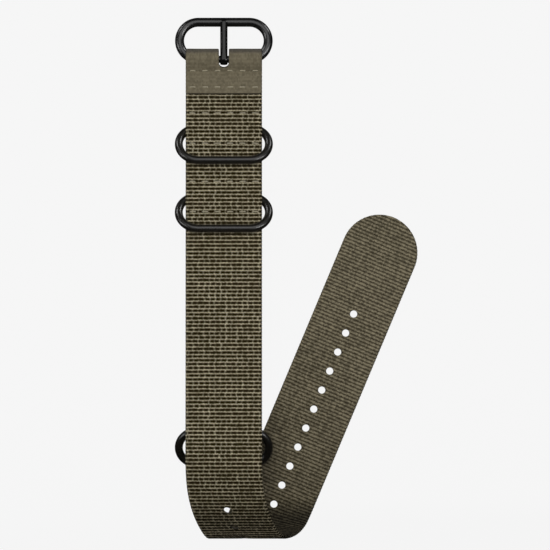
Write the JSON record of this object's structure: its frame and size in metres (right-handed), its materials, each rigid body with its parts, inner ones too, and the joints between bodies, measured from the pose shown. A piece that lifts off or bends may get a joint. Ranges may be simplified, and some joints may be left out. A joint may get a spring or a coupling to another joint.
{
  "type": "zulu watch strap",
  "caption": "Zulu watch strap of woven webbing with a tongue buckle, two keeper rings, an end ring on a sewn backing strap, and a pierced tail folded under.",
  "frame": {"origin": "middle of the watch seat, on the front face of the strap", "axes": "+Y runs up the strap to the buckle, level with the table; +X is to the right as seen from the front; +Z points away from the table. The front stretch slopes 10 degrees, down towards the buckle."},
  "size_m": [0.0698, 0.1497, 0.023],
  "materials": {
    "webbing": "woven, matt",
    "thread": "twisted, matt",
    "coated_steel": "gloss black coating"
  },
  "bodies": {
    "tail": {"main_strap_tail": "webbing"},
    "front": {"main_strap": "webbing", "backing_strap": "webbing", "flap_seam_upper": "thread", "flap_seam_lower": "thread", "upper_tunnel_seam_top": "thread", "upper_tunnel_seam_bottom": "thread", "lower_tunnel_seam_top": "thread", "lower_tunnel_seam_bottom": "thread"},
    "buckle": {"buckle_frame": "coated_steel"},
    "tongue": {"buckle_tongue": "coated_steel"},
    "upper_keeper": {"upper_keeper_ring": "coated_steel"},
    "lower_keeper": {"lower_keeper_ring": "coated_steel"},
    "backing_end": {"backing_strap_end": "webbing", "end_seam_inner": "thread", "end_seam_outer": "thread"},
    "end_ring": {"end_ring": "coated_steel"}
  },
  "joints": [
    {"name": "front_fold", "type": "hinge", "parent": "tail", "child": "front", "pos_m": [0, -0.05934, -0.00655], "axis": [1, 0, 0], "range_deg": [0, 75]},
    {"name": "buckle_swing", "type": "hinge", "parent": "front", "child": "buckle", "pos_m": [0, 0.0778, -0.01372], "axis": [1, 0, 0], "range_deg": [-60, 20]},
    {"name": "tongue_swing", "type": "hinge", "parent": "buckle", "child": "tongue", "pos_m": [0, 0.0778, -0.01372], "axis": [1, 0, 0], "range_deg": [0, 70]},
    {"name": "upper_keeper_swing", "type": "hinge", "parent": "front", "child": "upper_keeper", "pos_m": [0, 0.05808, -0.01324], "axis": [-1, 0, 0], "range_deg": [0, 10]},
    {"name": "lower_keeper_swing", "type": "hinge", "parent": "front", "child": "lower_keeper", "pos_m": [0, 0.03844, -0.00977], "axis": [-1, 0, 0], "range_deg": [0, 10]},
    {"name": "backing_swing", "type": "hinge", "parent": "front", "child": "backing_end", "pos_m": [0, 0.03214, -0.00749], "axis": [-1, 0, 0], "range_deg": [0, 8]},
    {"name": "end_ring_swing", "type": "hinge", "parent": "backing_end", "child": "end_ring", "pos_m": [0, -0.02895, -0.00884], "axis": [-1, 0, 0], "range_deg": [0, 40]}
  ]
}
